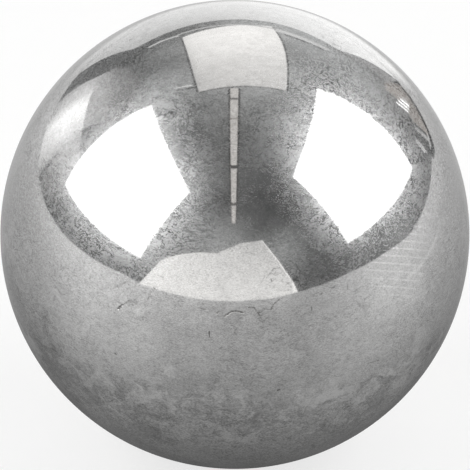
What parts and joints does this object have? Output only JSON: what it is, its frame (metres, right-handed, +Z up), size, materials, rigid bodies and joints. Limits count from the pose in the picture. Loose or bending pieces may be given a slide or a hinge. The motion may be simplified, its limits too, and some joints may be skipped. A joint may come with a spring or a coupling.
{
  "type": "steel ball",
  "caption": "Solid polished steel ball: a plain sphere used as a rolling element, check ball, gauge, weight or spacer.",
  "frame": {"origin": "centre of the ball", "axes": "+Z up; a sphere looks the same along every axis"},
  "size_m": [0.0254, 0.0254, 0.0254],
  "materials": {
    "steel": "polished"
  },
  "bodies": {
    "root": {"ball": "steel"}
  },
  "joints": []
}
